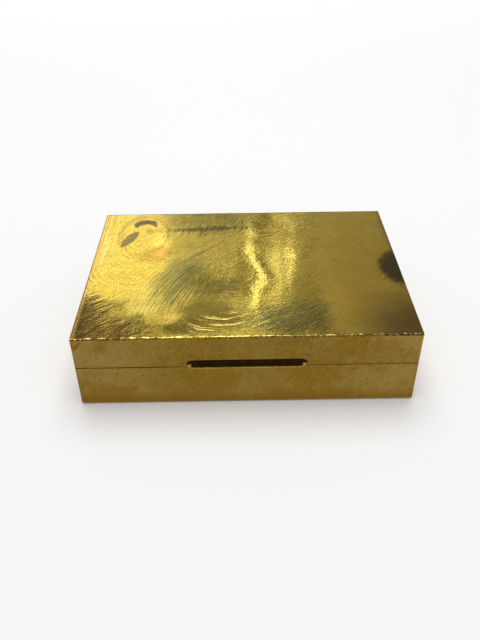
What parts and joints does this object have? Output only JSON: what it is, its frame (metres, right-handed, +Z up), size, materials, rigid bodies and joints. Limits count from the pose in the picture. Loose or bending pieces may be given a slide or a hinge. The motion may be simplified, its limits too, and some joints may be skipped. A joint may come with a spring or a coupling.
{
  "type": "hinged brass desk box",
  "caption": "Low rectangular brass desk box with a flat hinged lid, a thumb groove at the front seam, a cedar lining and a felt base, heavy enough to hold papers down.",
  "frame": {"origin": "middle of the felt's underside, on the surface that the box stands on", "axes": "+X to the right along the hinge, +Y from the thumb groove to the hinge, +Z up"},
  "size_m": [0.152, 0.112, 0.038],
  "materials": {
    "polished_brass": "hand-polished, worn",
    "patinated_brass": "satin, tarnished",
    "pin_steel": "drawn wire",
    "cedar": "bare, planed",
    "felt": "pressed wool felt"
  },
  "bodies": {
    "base": {"base_floor_plate": "patinated_brass", "base_front_wall": "patinated_brass", "base_left_wall": "patinated_brass", "base_right_wall": "patinated_brass", "base_back_wall": "patinated_brass", "base_hinge_bearer": "patinated_brass", "base_hinge_knuckle_1": "patinated_brass", "base_hinge_knuckle_2": "patinated_brass", "base_hinge_knuckle_3": "patinated_brass", "base_hinge_knuckle_4": "patinated_brass", "hinge_pin": "pin_steel", "base_lining_floor": "cedar", "base_lining_front": "cedar", "base_lining_right": "cedar", "base_lining_back": "cedar", "base_lining_left": "cedar", "felt_pad": "felt"},
    "lid": {"lid_top_plate": "polished_brass", "lid_front_wall": "patinated_brass", "lid_left_wall": "patinated_brass", "lid_right_wall": "patinated_brass", "lid_back_wall": "patinated_brass", "lid_hinge_bearer": "patinated_brass", "lid_hinge_knuckle_1": "patinated_brass", "lid_hinge_knuckle_2": "patinated_brass", "lid_hinge_knuckle_3": "patinated_brass", "lid_lining_panel": "cedar", "lid_lining_front": "cedar", "lid_lining_right": "cedar", "lid_lining_back": "cedar", "lid_lining_left": "cedar"}
  },
  "joints": [
    {"name": "lid_hinge", "type": "hinge", "parent": "base", "child": "lid", "pos_m": [0, 0.0542, 0.0215], "axis": [-1, 0, 0], "range_deg": [0, 100]}
  ]
}
